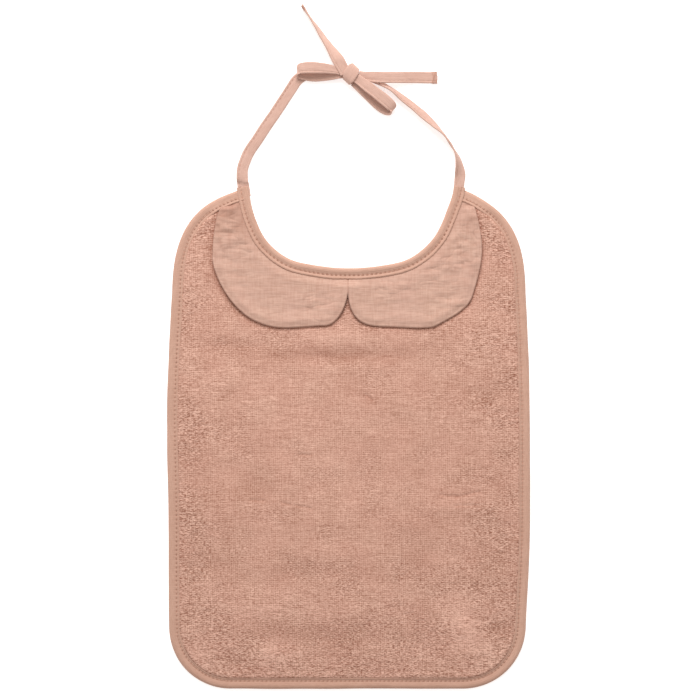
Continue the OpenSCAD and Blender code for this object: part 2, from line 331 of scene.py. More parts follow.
def new_piece(name, verts, faces, material, lay=None, fields=None):
    """A smooth-shaded mesh object. lay is the cloth's own coordinates at each vertex, in metres."""
    mesh = bpy.data.meshes.new(name)
    faces = faces.tolist() if isinstance(faces, np.ndarray) else faces
    mesh.from_pydata(np.asarray(verts).tolist(), [], faces)
    mesh.update()
    mesh.validate()
    coords = np.asarray(verts if lay is None else lay, np.float32)
    mesh.attributes.new("lay", "FLOAT_VECTOR", "POINT").data.foreach_set("vector", coords.ravel())
    for field, values in (fields or {}).items():
        data = mesh.attributes.new(field, "FLOAT", "POINT").data
        data.foreach_set("value", np.asarray(values, np.float32).ravel())
    mesh.polygons.foreach_set("use_smooth", [True] * len(mesh.polygons))
    mesh.materials.append(material)
    piece = bpy.data.objects.new(name, mesh)
    bpy.context.scene.collection.objects.link(piece)
    return piece


def grid_faces(n, m, wrap_m=False, start=0):
    """Quads over an n by m grid of vertices, the second index wrapping round if asked."""
    i, j = np.meshgrid(np.arange(n - 1), np.arange(m if wrap_m else m - 1), indexing="ij")
    k = (j + 1) % m
    return start + np.stack([i * m + j, i * m + k, (i + 1) * m + k, (i + 1) * m + j], -1).reshape(-1, 4)


def capped_tube(rings):
    """Vertices and faces of a tube from an n by m by 3 array of rings, closed at both ends."""
    n, m = rings.shape[:2]
    centres = rings[[0, -1]].mean(axis=1)
    verts = np.vstack([rings.reshape(-1, 3), centres])
    j = np.arange(m)
    k = (j + 1) % m
    first = np.stack([k, j, np.full(m, n * m)], 1)
    last = np.stack([(n - 1) * m + j, (n - 1) * m + k, np.full(m, n * m + 1)], 1)
    faces = grid_faces(n, m, wrap_m=True).tolist() + first.tolist() + last.tolist()
    return verts, faces


def thick_sheet(grid, thickness):
    """A closed sheet from an n by m by 3 array of the points of its middle."""
    n, m = grid.shape[:2]
    normal = unit(np.cross(np.gradient(grid, axis=0), np.gradient(grid, axis=1)) + 1e-15)
    top, bottom = grid + normal * thickness / 2, grid - normal * thickness / 2
    verts = np.vstack([top.reshape(-1, 3), bottom.reshape(-1, 3)])
    rim = np.concatenate([
        np.arange(m), np.arange(1, n) * m + m - 1,
        (n - 1) * m + np.arange(m - 2, -1, -1), np.arange(n - 2, 0, -1) * m,
    ])
    after = np.roll(rim, -1)
    walls = np.stack([rim, after, after + n * m, rim + n * m], 1)
    faces = np.vstack([grid_faces(n, m), grid_faces(n, m, start=n * m)[:, ::-1], walls])
    return verts, faces


# ---- materials


class Nodes:
    """Short ways to build a node tree."""

    def __init__(self, name):
        self.material = bpy.data.materials.new(name)
        self.material.use_nodes = True
        self.tree = self.material.node_tree
        self.shader = self.tree.nodes["Principled BSDF"]

    def add(self, kind, inputs=(), **settings):
        node = self.tree.nodes.new(kind)
        for key, value in settings.items():
            setattr(node, key, value)
        for key, value in dict(inputs).items():
            if isinstance(value, bpy.types.NodeSocket):
                self.tree.links.new(value, node.inputs[key])
            else:
                node.inputs[key].default_value = value
        return node

    def attribute(self, name, output):
        return self.add("ShaderNodeAttribute", attribute_name=name).outputs[output]

    def stretch(self, vector, scale):
        return self.add("ShaderNodeVectorMath", {0: vector, 1: scale}, operation="MULTIPLY").outputs[0]

    def noise(self, vector, scale, detail=2.0, roughness=0.5):
        values = {"Vector": vector, "Scale": scale, "Detail": detail, "Roughness": roughness}
        return self.add("ShaderNodeTexNoise", values).outputs["Fac"]

    def math(self, operation, a, b=0.0, clamp=False):
        return self.add("ShaderNodeMath", {0: a, 1: b}, operation=operation, use_clamp=clamp).outputs[0]

    def mix(self, factor, a, b):
        return self.add("ShaderNodeMix", {0: factor, 6: a, 7: b}, data_type="RGBA").outputs[2]

    def ramp(self, factor, low, high):
        values = {"Value": factor, "From Min": low, "From Max": high}
        return self.add("ShaderNodeMapRange", values, interpolation_type="SMOOTHSTEP").outputs[0]

    def bump(self, height, distance, strength, normal=None):
        values = {"Height": height, "Distance": distance, "Strength": strength}
        if normal is not None:
            values["Normal"] = normal
        return self.add("ShaderNodeBump", values).outputs[0]

    def surface(self, **values):
        for name, value in values.items():
            self.shader.inputs[name.replace("_", " ")].default_value = value

    def finish(self, color, normal, roughness=0.9, sheen=0.15):
        self.tree.links.new(color, self.shader.inputs["Base Color"])
        self.tree.links.new(normal, self.shader.inputs["Normal"])
        self.surface(Roughness=roughness, Specular_IOR_Level=0.15, Sheen_Weight=sheen, Sheen_Roughness=0.5)
        return self.material


def srgb(r, g, b):
    """A colour from 0 to 255 values as the shader wants it."""
    linear = [c / 255 / 12.92 if c <= 10 else ((c / 255 + 0.055) / 1.055) ** 2.4 for c in (r, g, b)]
    return (*linear, 1.0)


def weave(nodes, lay, pitch):
    """Height of a plain weave: threads along x and along y, one over the other."""
    wave = {"Scale": 1 / pitch / 20 * math.pi, "Distortion": 0.6, "Detail": 1.0, "Detail Scale": 2.0}
    over = nodes.add("ShaderNodeTexWave", {"Vector": lay, **wave}, bands_direction="X").outputs["Fac"]
    under = nodes.add("ShaderNodeTexWave", {"Vector": lay, **wave}, bands_direction="Y").outputs["Fac"]
    return nodes.math("ADD", over, under)


def woven(name, base, light, dark, pitch=0.0006, depth=0.00012, painted_shade_strength=0.0):
    """Plain woven cotton: slight slubs, fine threads and a soft bloom."""
    nodes = Nodes(name)
    lay = nodes.attribute("lay", "Vector")
    patch = nodes.ramp(nodes.noise(lay, 60, 3), 0.3, 0.7)
    slub = nodes.ramp(nodes.noise(nodes.stretch(lay, (260, 1400, 600)), 1, 2), 0.35, 0.75)
    color = nodes.mix(nodes.math("MULTIPLY", patch, 0.5), base, light)
    color = nodes.mix(nodes.math("MULTIPLY", slub, 0.22), color, dark)
    # Darker where marked on the piece: painted shade at needle holes and edges.
    if painted_shade_strength:
        color = nodes.mix(nodes.math("MULTIPLY", nodes.attribute("painted_shade", "Fac"), painted_shade_strength), color, dark)
    normal = nodes.bump(nodes.noise(lay, 900, 3), 0.0002, 0.35)
    normal = nodes.bump(weave(nodes, lay, pitch), depth, 0.35, normal)
    return nodes.finish(color, normal)


def terry_cloth():
    """Terry: short rows of loops with painted light on their ends and painted shade in the gaps between them,
    rougher in some places than others.
    """
    nodes = Nodes("terry")
    lay = nodes.attribute("lay", "Vector")
    rough, tone_and_shade = nodes.attribute("rough", "Fac"), nodes.attribute("tone_and_shade", "Fac")
    loops = nodes.noise(nodes.stretch(lay, (540, 2400, 400)), 1, 2, 0.6)
    rows = nodes.noise(nodes.stretch(lay, (90, 2500, 400)), 1, 1)
    columns = nodes.noise(nodes.stretch(lay, (1400, 150, 400)), 1, 1)
    weave_part = nodes.math("ADD", nodes.math("MULTIPLY", rows, 0.75), nodes.math("MULTIPLY", columns, 0.4))
    gain = nodes.add("ShaderNodeMath", {0: rough, 1: 3.6, 2: 1.3}, operation="MULTIPLY_ADD").outputs[0]
    tips = nodes.math("MULTIPLY", nodes.math("SUBTRACT", loops, 0.5), gain)
    tips = nodes.math("ADD", tips, nodes.math("MULTIPLY", nodes.math("SUBTRACT", weave_part, 0.575), 1.15))
    grid = nodes.math("SUBTRACT", weave(nodes, lay, TERRY_PITCH), 1.0)
    tips = nodes.math("ADD", tips, nodes.math("MULTIPLY", grid, 0.16))
    tips = nodes.math("ADD", tips, tone_and_shade, clamp=True)
    tint = nodes.ramp(nodes.noise(lay, 45, 3), 0.3, 0.7)
    # From the dark colour to the light one: painted shade in the loops' gaps, along the collar's edges, in
    # creases and hollows, painted light on the loop ends and hills, and the pile's own uneven tone.
    color = nodes.mix(tips, TERRY_DARK_AND_SHADE, TERRY_LIGHT)
    color = nodes.mix(nodes.math("MULTIPLY", tint, 0.18), color, TERRY_ROSE)
    height = nodes.math("MULTIPLY", loops, nodes.math("ADD", rough, 0.7))
    normal = nodes.bump(height, 0.0008, 0.6)
    return nodes.finish(color, normal, roughness=0.97, sheen=0.12)


def muslin_cloth():
    """Double gauze: open threads along and across, softly uneven."""
    nodes = Nodes("muslin")
    lay = nodes.attribute("lay", "Vector")
    across = nodes.noise(nodes.stretch(lay, (120, 1000, 400)), 1, 2)
    down = nodes.noise(nodes.stretch(lay, (1000, 100, 400)), 1, 2)
    threads = nodes.math("ADD", nodes.math("MULTIPLY", across, 0.55), nodes.math("MULTIPLY", down, 0.45))
    patch = nodes.ramp(nodes.noise(lay, 40, 3), 0.3, 0.7)
    gaps = nodes.math("MULTIPLY", nodes.ramp(threads, 0.36, 0.66), 0.4)
    color = nodes.mix(gaps, MUSLIN_LIGHT, MUSLIN_DARK_AND_SHADE)
    color = nodes.mix(nodes.math("MULTIPLY", patch, 0.25), color, MUSLIN_ROSE)
    # Painted shade laid on the leaves, towards the neck and along fold valleys.
    color = nodes.mix(nodes.attribute("shade", "Fac"), color, MUSLIN_DARK_AND_SHADE)
    normal = nodes.bump(threads, 0.0006, 0.5)
    return nodes.finish(color, normal, roughness=0.93, sheen=0.1)


# The terry's darkest colour is also the colour of its painted shade, and its lightest that of its painted
# light.
TERRY_DARK_AND_SHADE, TERRY_LIGHT, TERRY_ROSE = srgb(150, 99, 79), srgb(236, 190, 170), srgb(208, 152, 135)
# The gauze's dark colour is also the colour of its painted shade.
MUSLIN_LIGHT, MUSLIN_DARK_AND_SHADE, MUSLIN_ROSE = srgb(205, 167, 149), srgb(164, 118, 100), srgb(200, 157, 143)
TERRY = terry_cloth()
MUSLIN = muslin_cloth()
BINDING = woven("binding", srgb(197, 156, 137), srgb(206, 165, 146), srgb(160, 112, 92), painted_shade_strength=0.85)
TAPE = woven("tape", srgb(203, 165, 150), srgb(211, 174, 159), srgb(170, 124, 105), painted_shade_strength=0.35)
LINING = woven("lining", srgb(206, 166, 150), srgb(214, 178, 162), srgb(180, 136, 120), pitch=0.0008)
THREAD = woven("thread", srgb(180, 132, 112), srgb(190, 142, 122), srgb(150, 102, 84), pitch=0.0003)
TIE_THREAD = woven("tie_thread", srgb(198, 150, 130), srgb(206, 160, 142), srgb(166, 118, 100), pitch=0.0003)

# ---- camera, floor and lights

VIEW_WIDTH = 0.48125
VIEW_CENTRE = (0.0007, 0.0602)
CAMERA_HEIGHT = 1.3


def set_stage():
    view = bpy.data.cameras.new("camera")
    view.sensor_width = 36
    view.lens = 36 * CAMERA_HEIGHT / VIEW_WIDTH
    camera = bpy.data.objects.new("camera", view)
    camera.location = (*VIEW_CENTRE, CAMERA_HEIGHT)
    bpy.context.scene.collection.objects.link(camera)
    bpy.context.scene.camera = camera

    paper = Nodes("floor")
    paper.surface(Base_Color=(0.9, 0.9, 0.9, 1), Emission_Color=(1, 1, 1, 1), Emission_Strength=0.5,
                  Roughness=1.0, Specular_IOR_Level=0.0)
    mesh = bpy.data.meshes.new("floor")
    corners = ((-4, -4), (4, -4), (4, 4), (-4, 4))
    mesh.from_pydata([(x, y, FLOOR) for x, y in corners], [], [(0, 1, 2, 3)])
    mesh.materials.append(paper.material)
    floor = bpy.data.objects.new("floor", mesh)
    bpy.context.scene.collection.objects.link(floor)

    target = Vector((0, 0.06, 0))
    for name, place, width, power in (
        ("key", (-0.1, 1.25, 0.95), 0.8, 22.6),
        ("fill_left", (-1.3, 0.1, 1.3), 1.4, 1.5),
        ("fill_right", (1.3, 0.1, 1.3), 1.4, 1.5),
    ):
        light = bpy.data.lights.new(name, "AREA")
        light.size = width
        light.energy = power
        light.color = (0.985, 0.995, 1.0)
        lamp = bpy.data.objects.new(name, light)
        lamp.location = place
        lamp.rotation_euler = (target - Vector(place)).to_track_quat("-Z", "Y").to_euler()
        bpy.context.scene.collection.objects.link(lamp)

    world = bpy.data.worlds.new("studio")
    world.use_nodes = True
    world.node_tree.nodes["Background"].inputs["Color"].default_value = (1, 0.975, 0.945, 1)
    world.node_tree.nodes["Background"].inputs["Strength"].default_value = 0.55
    bpy.context.scene.world = world
    bpy.context.scene.view_settings.view_transform = "Standard"


# ---- ties and bow


class Tape:
    """A flat tape along one route: its centre line and the directions across and out of it."""

    def __init__(self, name, lead_in=0.0, lead_out=0.0):
        side, points = ROUTES[name]
        rows = np.array(points, float)
        rows[:, :3] *= MM
        rows[:, 1] += neck_top
        rows[:, :2] = settle(rows[:, :2])
        first = unit(rows[1, :3] - rows[0, :3])
        last = unit(rows[-1, :3] - rows[-2, :3])
        if lead_in:
            start = rows[0].copy()
            start[:2] -= unit(first[:2]) * lead_in
            rows = np.vstack([start, rows])
        if lead_out:
            end = rows[-1].copy()
            end[:3] += last * lead_out
            rows = np.vstack([rows, end])
        fine = smooth_through(rows, 14)
        s = arc_length(fine[:, :3])
        self.name = name
        self.length = s[-1]
        self.s = np.linspace(0, self.length, int(self.length / RING_SPACING))
        fine = sampled(fine, s, self.s)
        self.centre = fine[:, :3]
        self.share = fine[:, 4]
        tangent = unit(np.gradient(self.centre, axis=0))
        side = np.array(side, float)
        flat = unit(side - (tangent @ side)[:, None] * tangent)
        roll = np.radians(fine[:, 3])[:, None]
        self.across = flat * np.cos(roll) + np.cross(tangent, flat) * np.sin(roll)
        self.out = np.cross(self.across, tangent)
        self.tangent = tangent

    def point(self, across, out):
        """Points at a share of the width from the middle and a distance out of the tape."""
        reach = np.asarray(across) * TAPE_WIDTH * self.share[:, None]
        lift = np.asarray(out) * np.ones_like(reach)
        return (self.centre[:, None] + self.across[:, None] * reach[..., None]
                + self.out[:, None] * lift[..., None])

    def rings(self):
        """The tape's skin: folded once, so one long edge is round and the other is sewn."""
        row = TAPE_ROW
        top = np.array([
            (-0.5, 0.0), (-0.496, 0.26), (-0.475, 0.44), (-0.43, 0.52), (row - 0.07, 0.5),
            (row - 0.03, 0.42), (row, 0.38), (row + 0.03, 0.42), (row + 0.07, 0.51), (-0.15, 0.54),
            (-0.07, 0.55), (0.07, 0.56), (0.2, 0.55), (0.32, 0.53), (0.41, 0.5), (0.46, 0.42),
            (0.49, 0.24), (0.5, 0.0),
        ])
        profile = np.vstack([top, top[-2:0:-1] * np.array([1, -1])])
        across = np.tile(profile[:, 0], (len(self.s), 1))
        out = np.tile(profile[:, 1] * TAPE_THICKNESS, (len(self.s), 1))
        s = self.s[:, None]
        wander = noise(s, across * 0, 0.009, 1, 31)
        crease = noise(s, across, 0.012, 0.22, 32) + 0.8 * noise(s, across, 0.004, 0.3, 33)
        out = out + 0.00012 * crease + 0.0001 * wander
        outer = np.sign(self.out[len(self.s) // 4, 2])
        out = out - outer * 0.0009 * ramp(np.abs(self.tangent[:, 2:]), 0.25, 0.8) * (2 * across) ** 4
        edge = 1 + 0.018 * noise(s, np.sign(across), 0.006, 1, 34)
        return self.point(across * edge, out), across

    def lay(self, across):
        return np.stack([np.broadcast_to(self.s[:, None], across.shape), across * TAPE_WIDTH,
                         np.zeros_like(across)], -1)


def tape_piece(tape, node):
    rings, across = tape.rings()
    verts, faces = capped_tube(rings)
    lay = tape.lay(across).reshape(-1, 3)
    lay = np.vstack([lay, lay[:1], lay[-1:]])
    # The stitch row's needle holes painted darker: painted shade.
    phase = np.cos(2 * np.pi * tape.s[:, None] / STITCH_PITCH)
    painted_shade = ramp(phase, 0.3, 1.0) * bump(across, TAPE_ROW, 0.04)
    painted_shade = np.concatenate([painted_shade.ravel(), [0, 0]])
    piece = new_piece(tape.name + "_tape", verts, faces, TAPE, lay, {"painted_shade": painted_shade})
    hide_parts(node)
    return piece


def small_tube(path, radius, sides=6):
    """Rings of a thin round thread along a path."""
    t = unit(np.gradient(path, axis=0))
    helper = np.where(np.abs(t[:, 2:3]) > 0.8, [[1.0, 0, 0]], [[0, 0, 1.0]])
    a = unit(np.cross(t, helper))
    b = np.cross(t, a)
    angle = np.linspace(0, 2 * np.pi, sides, endpoint=False)
    return path[:, None] + radius * (a[:, None] * np.cos(angle)[None, :, None]
                                     + b[:, None] * np.sin(angle)[None, :, None])


def joined(parts):
    """One list of vertices and faces from several."""
    verts, faces, count = [], [], 0
    for v, f in parts:
        verts.append(v)
        faces.extend([[k + count for k in face] for face in f])
        count += len(v)
    return np.vstack(verts), faces


def stitch_row(name, path, up, radius=0.0002, pitch=STITCH_PITCH, share=0.78, sink=0.00022, thread=None):
    """Separate stitches along a path: each one shows in the middle and dives at both ends."""
    s = arc_length(path)
    parts = []
    for k in range(int(s[-1] / pitch)):
        t = np.linspace(-0.5, 0.5, 7)
        at = (k + 0.5) * pitch + t * pitch * share
        line = sampled(path, s, at) + sampled(up, s, at) * (radius - sink * (2 * np.abs(t[:, None])) ** 3 * 2)
        parts.append(capped_tube(small_tube(line, radius)))
    verts, faces = joined(parts)
    return new_piece(name, verts, faces, thread or THREAD)


def tie_stitching(tape, node):
    at = np.full((len(tape.s), 1), TAPE_ROW)
    path = tape.point(at, 0.38 * TAPE_THICKNESS)[:, 0]
    piece = stitch_row(tape.name + "_thread", path, tape.out, radius=0.00012, thread=TIE_THREAD)
    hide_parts(node)
    return piece


def hem_piece(tape, node):
    """Oversewing at a tail's end: thread that zigzags over the last 3 mm."""
    half = np.array([(-0.51, 0), (-0.47, 0.52), (0, 0.6), (0.47, 0.52)])
    profile = np.vstack([half, -half])
    loop = smooth_through(np.vstack([profile, profile[:1]]), 6)
    parts = []
    for k in range(7):
        back = 0.0032 - k * 0.0005
        at = tape.length - back + 0.0005 * np.sin(np.linspace(0, 2 * np.pi, len(loop)) * 3 + k)
        centre, across, out = (sampled(rows, tape.s, at) for rows in (tape.centre, tape.across, tape.out))
        beyond = np.clip(at - tape.length, 0, None)[:, None] * tape.tangent[-1]
        path = centre + beyond + across * loop[:, :1] * TAPE_WIDTH + out * loop[:, 1:] * TAPE_THICKNESS
        parts.append(capped_tube(small_tube(path, 0.00014)))
    verts, faces = joined(parts)
    piece = new_piece(tape.name + "_hem", verts, faces, TIE_THREAD)
    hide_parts(node)
    return piece


def knot_piece():
    """The wrap of the knot: a wide band round the tapes, slanted along them."""
    turn = math.radians(-33)
    along = np.array([math.cos(turn), math.sin(turn), 0])
    over = np.array([-math.sin(turn), math.cos(turn), 0])
    up = np.array([0, 0, 1.0])
    half_width, half_height, length = 0.0056, 0.0031, 0.0094
    centre = knot_centre - along * 0.0002 - over * 0.0008 - up * 0.00015
    angle = np.linspace(0, 2 * np.pi, 72, endpoint=False)
    power = 2 / 2.4
    b = half_width * np.sign(np.cos(angle)) * np.abs(np.cos(angle)) ** power
    z = half_height * np.sign(np.sin(angle)) * np.abs(np.sin(angle)) ** power
    section = np.array([
        (-0.5, 0.0), (-0.495, 0.5), (-0.47, 0.85), (-0.42, 1.0), (-0.3, 1.0), (-0.15, 0.96),
        (0.0, 1.02), (0.15, 0.96), (0.3, 1.0), (0.42, 1.0), (0.47, 0.85), (0.495, 0.5), (0.5, 0.0),
        (0.46, -0.3), (0.0, -0.4), (-0.46, -0.3),
    ])
    outward = unit(over * (b / half_width**2)[:, None] + up * (z / half_height**2)[:, None])
    a = section[:, 0] * length
    lift = section[:, 1] * 0.0009
    fold = 0.00012 * noise(angle[:, None] * 0.004, a[None, :], 0.006, 0.0022, 41)
    reach = a * (1 - 0.35 * (b[:, None] / half_width) ** 4)
    rings = (centre + (over * b[:, None] + up * z[:, None])[:, None]
             + (along - 0.2 * over) * reach[..., None] + outward[:, None] * (lift + fold)[..., None])
    rings[..., 2] = np.maximum(rings[..., 2], 0.0001)
    verts = rings.reshape(-1, 3)
    n, m = rings.shape[:2]
    faces = grid_faces(n + 1, m, wrap_m=True) % (n * m)
    s = angle[:, None] * 0.0048 * np.ones((1, m))
    lay = np.stack([s, np.broadcast_to(a, s.shape), 0 * s], -1).reshape(-1, 3)
    piece = new_piece("bow_knot_wrap", verts, faces, TAPE, lay, {"painted_shade": np.zeros(len(verts))})
    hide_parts("bow_knot")
    return piece


def build_ties():
    """Straps, bow and their threads."""
    knot = knot_piece()
    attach(knot, "neck_loop")
    for name in ("left_tie", "right_tie"):
        tape = Tape(name, lead_in=0.008)
        piece = tape_piece(tape, name)
        thread = tie_stitching(tape, name + "_stitching")
        for part in (piece, thread):
            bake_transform(part)
    for kind, hand in (("loop", "left"), ("loop", "right"), ("tail", "left"), ("tail", "right")):
        name, body = f"bow_{kind}_{hand}", f"{hand}_{kind}"
        looped = kind == "loop"
        tape = Tape(name, lead_in=0.004, lead_out=0.004 if looped else 0.0)
        piece = tape_piece(tape, name)
        away = np.cross(joint[body + "_lift"]["axis"], (0, 0, 1))
        away = away if away @ (tape.centre[len(tape.s) // 2] - knot_centre) > 0 else -away
        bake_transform(piece)
        extras = []
        if not looped:
            extras = [hem_piece(tape, body + "_hem")]
            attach(extras[0], body)


# ---- bindings


def binding_rings(curve, width, row, height, low, seed, raised=None):
    """A folded binding along a curve: a channel that is round at the edge and open towards the cloth.

    Each ring runs from the upper lip over the edge to the lower lip, and back along the inside."""
    skin = 0.00055
    outside = [
        (width - 0.0004, height - 0.0014), (width - 0.0001, height - 0.0012),
        (width, height - 0.0008 - low), (width - 0.0003, height - 0.00034 - low),
        (width - 0.0008, height - 0.00016 - low), (width - 0.0012, height - 0.00032 - low),
        (row + 0.001, height - 0.00056 - low),
        (row + 0.0005, height - 0.00076), (row, height - 0.00088),
        (row - 0.0005, height - 0.00072), (row - 0.0011, height - 0.00048), (row - 0.002, height - 0.00018),
        (0.0026, height), (0.0018, height - 0.00006), (0.0011, height - 0.0003), (0.0005, height - 0.00075),
        (0.00015, height * 0.62), (0, height * 0.45),
    ]
    under = [
        (0.0003, height * 0.22), (0.0009, 0.00045), (0.0017, 0.00012), (0.003, 0.0), (row - 0.0012, 0.0),
        (row, BACK_ROW), (width - 0.0009, 0.00004), (width - 0.0002, 0.0001), (width, 0.0003),
    ]
    inside = [
        (width - 0.0002, skin), (0.002, skin + 0.0001), (0.0011, height * 0.4), (0.0011, height * 0.55),
        (0.0022, height - skin - 0.0002), (row, height - 0.0009 - skin), (width - 0.0008, height - 0.0016),
    ]
    profile = np.array(outside + under + inside)
    s = arc_length(curve)[:, None]
    d = np.tile(profile[:, 0], (len(curve), 1))
    z = np.tile(profile[:, 1], (len(curve), 1))
    d_share, upper = d / width, ramp(z / height, 0.3, 0.6)
    pull = np.cos(2 * np.pi * s / STITCH_PITCH)
    on_row = bump(d, row, 0.00075) * upper
    dimple = bump(d, row, 0.0004) * upper * ramp(pull, 0.35, 1.0)
    z = z - on_row * 0.0001 * pull - dimple * 0.0003
    z = z + upper * 0.00013 * noise(s, d, 0.013, 0.004, seed)
    z = z + upper * 0.00005 * noise(s, d, 0.004, 0.002, seed + 1)
    if raised is not None:
        z = z + upper * ramp(d, 0.0028, 0.0055) * raised[:, None] * LEAF_RISE
    lip = ramp(d_share, 0.85, 1.0) * upper
    d = d - lip * 0.0001 * pull + lip * 0.00022 * noise(s, d * 0, 0.008, 1, seed + 2)
    d = d + (1 - ramp(d_share, 0.0, 0.4)) * 0.00018 * noise(s, d * 0, 0.021, 1, seed + 3)
    n = inward(curve)
    rings = np.concatenate([curve[:, None] + n[:, None] * d[..., None], z[..., None]], -1)
    # Painted shade in the dimples at the needle holes.
    painted_shade = dimple * np.ones_like(d)
    lay = np.stack([np.broadcast_to(s, d.shape), d, z], -1)
    return rings, lay, painted_shade


def binding_piece(name, curve, width, row, height, low, seed, raised=None):
    rings, lay, painted_shade = binding_rings(curve, width, row, height, low, seed, raised)
    verts, faces = capped_tube(rings)
    lay = lay.reshape(-1, 3)
    lay = np.vstack([lay, lay[:1], lay[-1:]])
    # The outer binding painted darker along the bib's bottom edge: painted shade.
    painted_shade = np.clip(painted_shade + 0.17 * ramp(-rings[..., 1], 0.15, 0.168), 0, 1)
    fields = {"painted_shade": np.append(painted_shade.ravel(), [0, 0])}
    piece = new_piece(name + "_tape", verts, faces, BINDING, lay, fields)
    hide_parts(name)
    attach(piece, "bib")
    return piece


def binding_stitches(node, curve, row, z, up, ends=0.0):
    line = curve + inward(curve) * row
    s = arc_length(curve)
    keep = (s >= ends) & (s <= s[-1] - ends)
    path = np.column_stack([line[keep], np.broadcast_to(z, len(curve))[keep]])
    rise = np.tile([0, 0, float(up)], (len(path), 1))
    piece = stitch_row(node.replace("stitching", "thread"), path, rise, radius=0.00017)
    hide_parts(node)
    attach(piece, "bib")
    return piece


def build_bindings():
    outer, neck = body_edge, neck_edge[::-1]
    over_leaf = ramp(outer[:, 1], 0.157, 0.162)
    binding_piece("outer_binding", outer, OUTER_WIDTH, OUTER_ROW, binding_top, 0.00022, 11, over_leaf)
    binding_piece("neck_binding", neck, NECK_WIDTH, NECK_ROW, neck_binding_top, 0.0, 21)
    row_z = binding_top - ROW_DEPTH + LEAF_RISE * over_leaf
    binding_stitches("outer_stitching_front", outer, OUTER_ROW, row_z, 1, 0.006)
    binding_stitches("outer_stitching_back", outer, OUTER_ROW, BACK_ROW, -1, 0.006)
    binding_stitches("neck_stitching_front", neck, NECK_ROW, neck_binding_top - ROW_DEPTH, 1)
    binding_stitches("neck_stitching_back", neck, NECK_ROW, BACK_ROW, -1)


# ---- terry front and lining


def panel(spacing, inset):
    """A grid over the body with its rim drawn to the outline: points, faces, distance to the edge."""
    n_in = inward(body_edge)
    outline = np.vstack([body_edge + n_in * inset, (neck_edge - inward(neck_edge) * inset)[::-1]])
    outline = np.vstack([outline, outline[:1]])
    xs = np.arange(outline[:, 0].min() - spacing, outline[:, 0].max() + spacing, spacing)
    ys = np.arange(outline[:, 1].min() - spacing, outline[:, 1].max() + spacing, spacing)
    gx, gy = np.meshgrid(xs, ys, indexing="ij")
    inside = np.zeros(gx.shape, bool)
    for p, q in zip(outline[:-1], outline[1:]):
        rows = np.flatnonzero((p[1] > ys) != (q[1] > ys))
        for k in rows:
            x = p[0] + (ys[k] - p[1]) * (q[0] - p[0]) / (q[1] - p[1])
            inside[:, k] ^= xs < x
    points, inside = np.stack([gx.ravel(), gy.ravel()], 1), inside.ravel()
    quads = grid_faces(len(xs), len(ys))
    quads = quads[inside[quads].sum(1) >= 2]
    used = np.unique(quads)
    remap = np.full(len(points), -1)
    remap[used] = np.arange(len(used))
    points, inside, quads = points[used], inside[used], remap[quads]
    edge, _ = distance_to(resample(outline, spacing=0.004), points)
    rim = ~inside
    _, spot = distance_to(resample(outline, spacing=0.001), points[rim])
    points[rim] = spot
    edge[rim] = 0
    return points, quads, edge


def rim_walls(quads, count):
    """Side walls between a sheet's top and its copy count vertices on."""
    edges = np.vstack([quads[:, [0, 1]], quads[:, [1, 2]], quads[:, [2, 3]], quads[:, [3, 0]]])
    code = edges[:, 0] * (2 * count) + edges[:, 1]
    back = edges[:, 1] * (2 * count) + edges[:, 0]
    rim = edges[~np.isin(code, back)]
    return np.stack([rim[:, 1], rim[:, 0], rim[:, 0] + count, rim[:, 1] + count], 1)


def panel_piece(name, points, quads, top, bottom, material, node, fields):
    verts = np.vstack([np.column_stack([points, top]), np.column_stack([points, bottom])])
    faces = np.vstack([quads, quads[:, ::-1] + len(points), rim_walls(quads, len(points))])
    fields = {k: np.concatenate([v, v]) for k, v in fields.items()}
    piece = new_piece(name, verts, faces, material, None, fields)
    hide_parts(node)
    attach(piece, "bib")
    return piece


# Soft hills and hollows of the terry in millimetres: middle x and y, reach along x and along y, height
MOUNDS = [
    (-4, 56, 45, 5, -0.9), (-75, 64, 30, 4, -0.4), (-3, 70, 26, 5, 0.4), (-20, 28, 90, 16, 0.4),
    (-90, 40, 18, 9, 0.5), (88, 58, 20, 12, 0.5), (-61, 22, 12, 10, 0.4), (12.5, 27.5, 5, 5, -0.4),
    (96, 31, 18, 8, -0.5), (-65, -32, 12, 10, -0.5), (75, -48, 24, 4, 0.4), (-30, -94, 45, 8, -0.5),
    (50, -80, 14, 14, -0.5), (-62, -115, 30, 10, 0.6), (-15, -137, 45, 9, -0.9), (79, -130, 14, 16, 0.7),
    (104, -132, 9, 8, -0.6), (-53, -150, 11, 8, 0.6), (-78, -153, 10, 6, -0.5), (-98, -84, 15, 9, -0.4),
]

